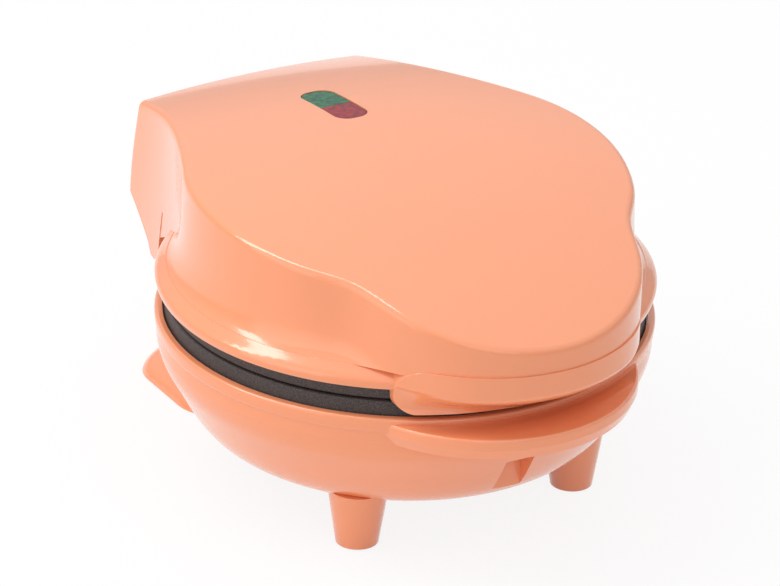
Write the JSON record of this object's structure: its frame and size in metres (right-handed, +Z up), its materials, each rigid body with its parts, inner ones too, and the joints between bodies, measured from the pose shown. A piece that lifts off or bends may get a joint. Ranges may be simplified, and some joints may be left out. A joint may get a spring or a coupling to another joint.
{
  "type": "mini waffle maker",
  "caption": "Small round waffle maker: domed lid hinged at the rear, two cast waffle plates with ring heaters, base bowl on front feet and a flared rear stand, thumb lobes in front.",
  "frame": {"origin": "on the ground, under the middle of the overall box", "axes": "+Z up, -Y to the handle in front, +Y to the hinge, +X to the right seen from the front"},
  "size_m": [0.1352, 0.1737, 0.092],
  "materials": {
    "coral_shell": "glossy injection-moulded plastic",
    "nonstick_plate": "cast plate with a speckled non-stick coat",
    "heater_tube": "sheathed heating tube",
    "shield_steel": "pressed sheet steel",
    "zinc_screw": "zinc plated",
    "pin_steel": "turned steel pin",
    "terminal_plastic": "heat-resistant plastic",
    "holder_plastic": "heat-resistant plastic",
    "cord_rubber": "soft moulded bushing",
    "pad_rubber": "non-slip rubber",
    "green_lens": "tinted lamp lens",
    "red_lens": "tinted lamp lens",
    "neon_glass": "small neon lamp",
    "thermostat_metal": "pressed aluminium cup",
    "fuse_body": "ceramic body with wire leads"
  },
  "bodies": {
    "base": {"base_shell": "coral_shell", "lower_plate": "nonstick_plate", "lower_heater": "heater_tube", "lower_heater_clamps": "shield_steel", "lower_heat_shield": "shield_steel", "lower_plate_screws": "zinc_screw", "terminal_block": "terminal_plastic", "terminal_screws": "zinc_screw", "cord_gland": "cord_rubber", "front_foot_pads": "pad_rubber", "rear_foot_pads": "pad_rubber"},
    "lid": {"lid_shell": "coral_shell", "upper_plate": "nonstick_plate", "upper_heater": "heater_tube", "upper_heater_clamps": "shield_steel", "upper_heat_shield": "shield_steel", "upper_shield_screws": "zinc_screw", "upper_plate_screws": "zinc_screw", "lamp_holder": "holder_plastic", "green_lens": "green_lens", "red_lens": "red_lens", "green_neon": "neon_glass", "red_neon": "neon_glass", "thermostat": "thermostat_metal", "thermal_fuse": "fuse_body", "hinge_pins": "pin_steel"}
  },
  "joints": [
    {"name": "lid_hinge", "type": "hinge", "parent": "base", "child": "lid", "pos_m": [0, 0.07135, 0.0505], "axis": [-1, 0, 0], "range_deg": [0, 100]}
  ]
}
